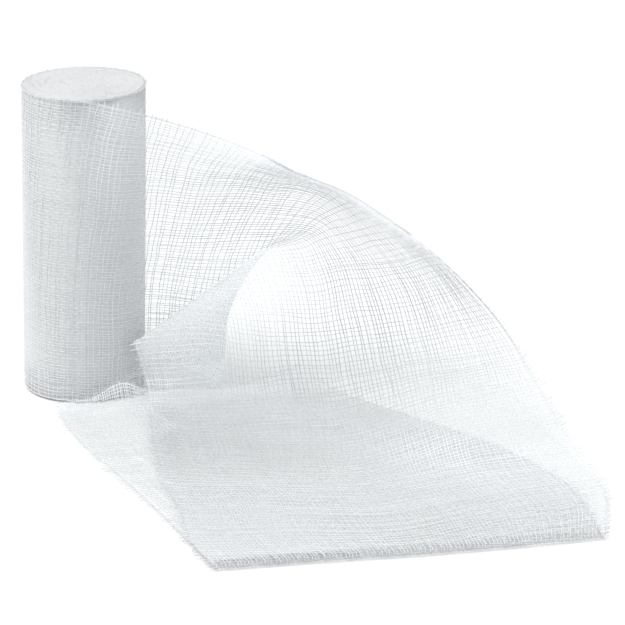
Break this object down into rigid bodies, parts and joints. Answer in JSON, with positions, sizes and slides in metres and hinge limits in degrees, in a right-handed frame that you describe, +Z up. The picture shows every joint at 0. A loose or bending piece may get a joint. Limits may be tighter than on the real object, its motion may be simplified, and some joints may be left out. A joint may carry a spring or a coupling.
{
  "type": "gauze bandage roll",
  "caption": "Roll of open-weave gauze bandage standing on its end, its loose end drawn out in an arch, folded back once and laid on the table in two layers.",
  "frame": {"origin": "centre of the bounding box at the table, under the loose end", "axes": "+Z up along the standing roll, +X the way the loose end leaves the roll, -Y towards the folded front edge"},
  "size_m": [0.1762, 0.1662, 0.0987],
  "materials": {
    "wound_gauze": "matt bleached cotton, many layers deep",
    "loose_gauze": "matt bleached cotton, open weave"
  },
  "bodies": {
    "root": {"roll": "wound_gauze", "loose_end": "loose_gauze"}
  },
  "joints": []
}
